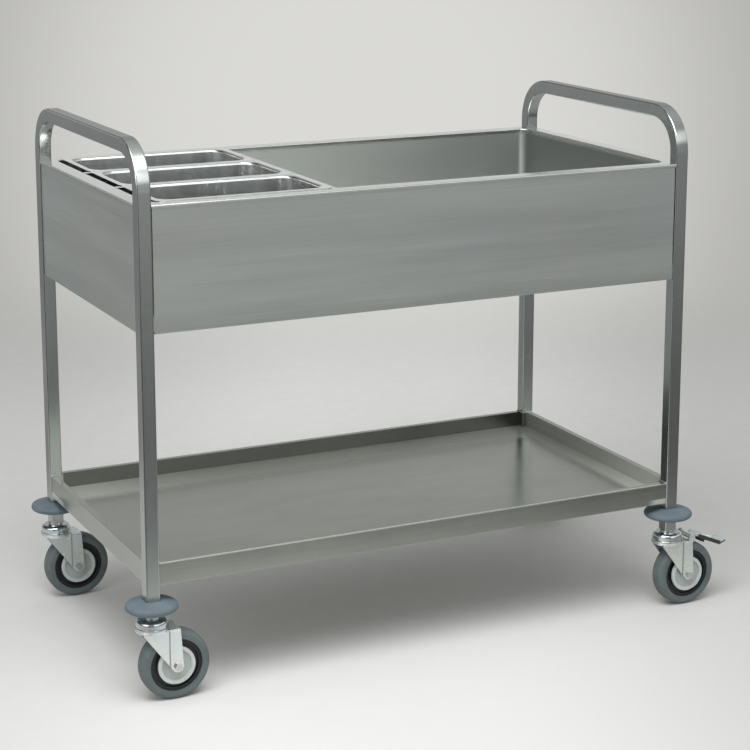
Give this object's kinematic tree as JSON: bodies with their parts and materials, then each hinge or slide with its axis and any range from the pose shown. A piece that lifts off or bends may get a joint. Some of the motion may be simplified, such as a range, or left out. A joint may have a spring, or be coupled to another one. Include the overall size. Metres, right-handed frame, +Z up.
{
  "type": "tray return trolley",
  "caption": "Stainless clearing trolley with a deep basin, lift-out containers, a lower shelf, bent-tube push handles, corner bumper discs and swivel castors with foot brakes at one end.",
  "frame": {"origin": "middle of the bounding box, on the floor", "axes": "+X along the length towards the braked end, +Y from the front (the long side in view) to the back, +Z up"},
  "size_m": [1.2218, 0.647, 0.971],
  "materials": {
    "brushed_sheet": "brushed stainless tube and sheet",
    "basin_steel": "bright rolled stainless sheet",
    "container_steel": "bright drawn stainless sheet",
    "zinc": "bright zinc plate on pressed steel",
    "bearing_steel": "ground bearing steel",
    "core_plastic": "black moulded plastic",
    "guard_plastic": "pale grey moulded plastic",
    "tyre_rubber": "grey non-marking rubber",
    "bumper_rubber": "grey-blue moulded rubber",
    "shoe_rubber": "black brake rubber"
  },
  "bodies": {
    "trolley": {"end_frame_left": "brushed_sheet", "end_frame_right": "brushed_sheet", "apron_front": "brushed_sheet", "apron_back": "brushed_sheet", "apron_left": "brushed_sheet", "apron_right": "brushed_sheet", "basin": "basin_steel", "pan_rail": "basin_steel", "pan_bars": "basin_steel", "shelf": "brushed_sheet", "leg_plugs": "zinc", "bumper_fl": "bumper_rubber", "bumper_fr": "bumper_rubber", "bumper_bl": "bumper_rubber", "bumper_br": "bumper_rubber", "castor_head_fl": "zinc", "castor_head_fr": "zinc", "castor_head_bl": "zinc", "castor_head_br": "zinc"},
    "castor_fl": {"castor_fork_fl": "zinc", "castor_balls_fl": "bearing_steel", "castor_axle_fl": "zinc"},
    "wheel_fl": {"wheel_core_fl": "core_plastic", "wheel_tyre_fl": "tyre_rubber", "thread_guards_fl": "guard_plastic", "wheel_bearings_fl": "bearing_steel"},
    "castor_fr": {"castor_fork_fr": "zinc", "castor_balls_fr": "bearing_steel", "castor_axle_fr": "zinc", "brake_pin_fr": "zinc"},
    "wheel_fr": {"wheel_core_fr": "core_plastic", "wheel_tyre_fr": "tyre_rubber", "thread_guards_fr": "guard_plastic", "wheel_bearings_fr": "bearing_steel"},
    "castor_bl": {"castor_fork_bl": "zinc", "castor_balls_bl": "bearing_steel", "castor_axle_bl": "zinc"},
    "wheel_bl": {"wheel_core_bl": "core_plastic", "wheel_tyre_bl": "tyre_rubber", "thread_guards_bl": "guard_plastic", "wheel_bearings_bl": "bearing_steel"},
    "castor_br": {"castor_fork_br": "zinc", "castor_balls_br": "bearing_steel", "castor_axle_br": "zinc", "brake_pin_br": "zinc"},
    "wheel_br": {"wheel_core_br": "core_plastic", "wheel_tyre_br": "tyre_rubber", "thread_guards_br": "guard_plastic", "wheel_bearings_br": "bearing_steel"},
    "pedal_fr": {"brake_pedal_fr": "zinc", "brake_shoe_fr": "shoe_rubber"},
    "pedal_br": {"brake_pedal_br": "zinc", "brake_shoe_br": "shoe_rubber"},
    "container_front": {"pan_front": "container_steel"},
    "container_middle": {"pan_middle": "container_steel"},
    "container_back": {"pan_back": "container_steel"}
  },
  "joints": [
    {"name": "castor_swivel_fl", "type": "hinge", "parent": "trolley", "child": "castor_fl", "pos_m": [-0.56489, -0.2775, 0.131], "axis": [0, 0, 1], "continuous": true},
    {"name": "wheel_spin_fl", "type": "hinge", "parent": "castor_fl", "child": "wheel_fl", "pos_m": [-0.52689, -0.2775, 0.0625], "axis": [0, 1, 0], "continuous": true},
    {"name": "castor_swivel_fr", "type": "hinge", "parent": "trolley", "child": "castor_fr", "pos_m": [0.48511, -0.2775, 0.131], "axis": [0, 0, 1], "continuous": true},
    {"name": "wheel_spin_fr", "type": "hinge", "parent": "castor_fr", "child": "wheel_fr", "pos_m": [0.52311, -0.2775, 0.0625], "axis": [0, 1, 0], "continuous": true},
    {"name": "castor_swivel_bl", "type": "hinge", "parent": "trolley", "child": "castor_bl", "pos_m": [-0.56489, 0.2775, 0.131], "axis": [0, 0, 1], "continuous": true},
    {"name": "wheel_spin_bl", "type": "hinge", "parent": "castor_bl", "child": "wheel_bl", "pos_m": [-0.52689, 0.2775, 0.0625], "axis": [0, 1, 0], "continuous": true},
    {"name": "castor_swivel_br", "type": "hinge", "parent": "trolley", "child": "castor_br", "pos_m": [0.48511, 0.2775, 0.131], "axis": [0, 0, 1], "continuous": true},
    {"name": "wheel_spin_br", "type": "hinge", "parent": "castor_br", "child": "wheel_br", "pos_m": [0.52311, 0.2775, 0.0625], "axis": [0, 1, 0], "continuous": true},
    {"name": "brake_press_fr", "type": "hinge", "parent": "castor_fr", "child": "pedal_fr", "pos_m": [0.52911, -0.2775, 0.137], "axis": [0, 1, 0], "range_deg": [0, 8]},
    {"name": "brake_press_br", "type": "hinge", "parent": "castor_br", "child": "pedal_br", "pos_m": [0.52911, 0.2775, 0.137], "axis": [0, 1, 0], "range_deg": [0, 8]},
    {"name": "pan_lift_front", "type": "slide", "parent": "trolley", "child": "container_front", "axis": [0, 0, 1], "range_m": [0, 0.2]},
    {"name": "pan_lift_middle", "type": "slide", "parent": "trolley", "child": "container_middle", "axis": [0, 0, 1], "range_m": [0, 0.2]},
    {"name": "pan_lift_back", "type": "slide", "parent": "trolley", "child": "container_back", "axis": [0, 0, 1], "range_m": [0, 0.2]}
  ]
}
